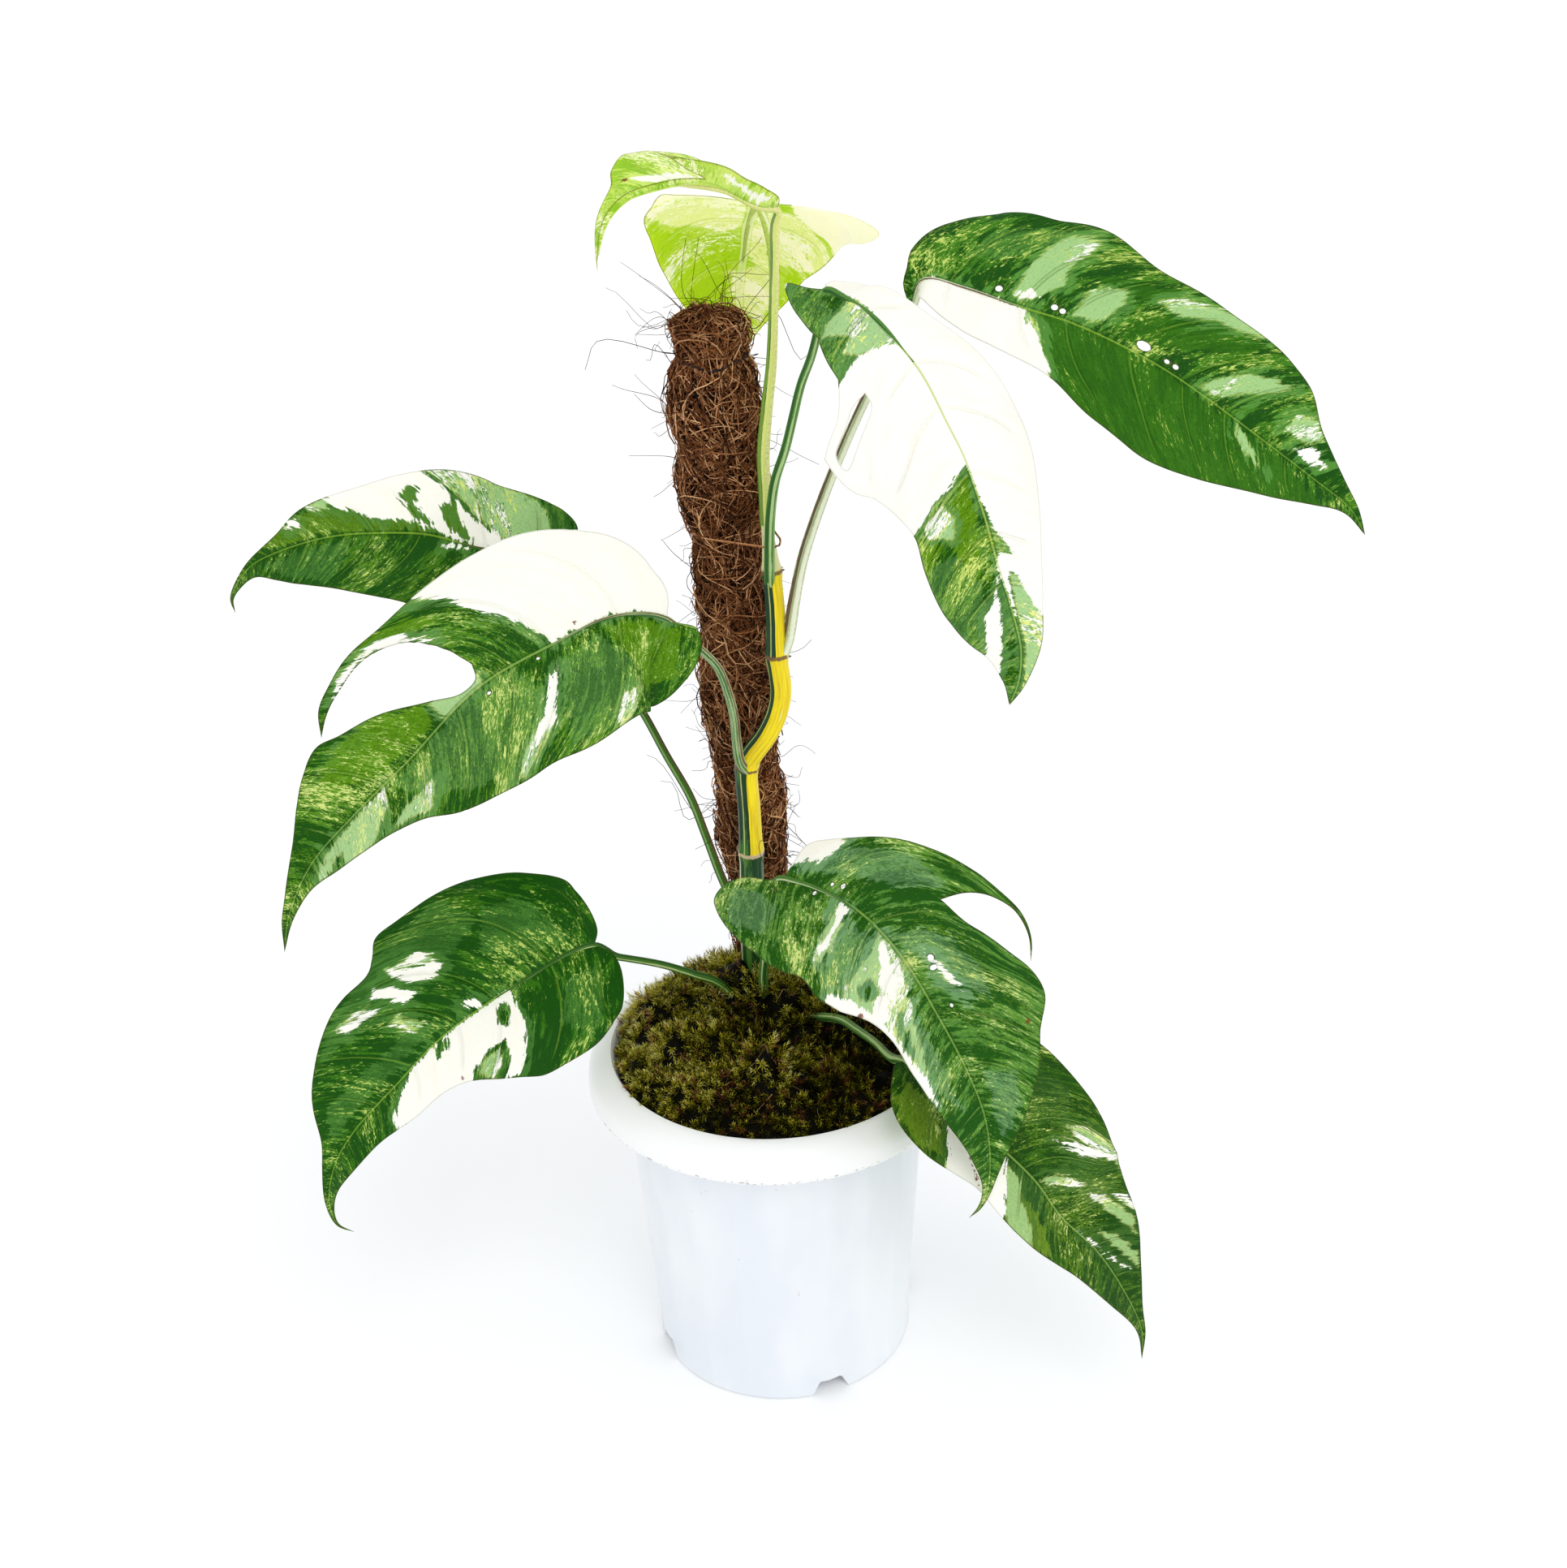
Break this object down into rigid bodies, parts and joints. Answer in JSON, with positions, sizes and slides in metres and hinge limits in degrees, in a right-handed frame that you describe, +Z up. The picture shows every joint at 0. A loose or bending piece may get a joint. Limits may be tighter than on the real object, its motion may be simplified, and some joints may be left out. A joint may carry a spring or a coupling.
{
  "type": "potted variegated dragon tail plant",
  "caption": "Climbing aroid with white-marbled green leaves on long stalks, tied to a coir pole in a white nursery pot topped with moss; a room plant.",
  "frame": {"origin": "centre of the pot's resting face", "axes": "+Z up; the leafy front faces -Y; +X to the right as seen from the front"},
  "size_m": [0.4021, 0.1687, 0.5076],
  "materials": {
    "pot_plastic": "satin",
    "potting_mix": "matte",
    "moss": "matte",
    "stake_wood": "matte",
    "coir": "matte",
    "dark_cord": "matte",
    "coir_strand": "matte",
    "stem": "satin",
    "young_leaf": "satin",
    "white_leaf": "satin",
    "variegated_leaf": "satin"
  },
  "bodies": {
    "root": {"pot": "pot_plastic", "potting_mix": "potting_mix", "moss_cover": "moss", "pole_stake": "stake_wood", "pole_coir": "coir", "pole_tie": "dark_cord", "stem_tie": "coir_strand", "stem": "stem", "leaf_1_top": "young_leaf", "leaf_2_behind_pole": "young_leaf", "leaf_3_high_right": "variegated_leaf", "leaf_4_half_white": "white_leaf", "leaf_5_left_rear": "variegated_leaf", "leaf_6_left_split": "variegated_leaf", "leaf_7_low_left": "variegated_leaf", "leaf_8_low_right_split": "variegated_leaf", "leaf_9_low_right_rear": "variegated_leaf"}
  },
  "joints": []
}
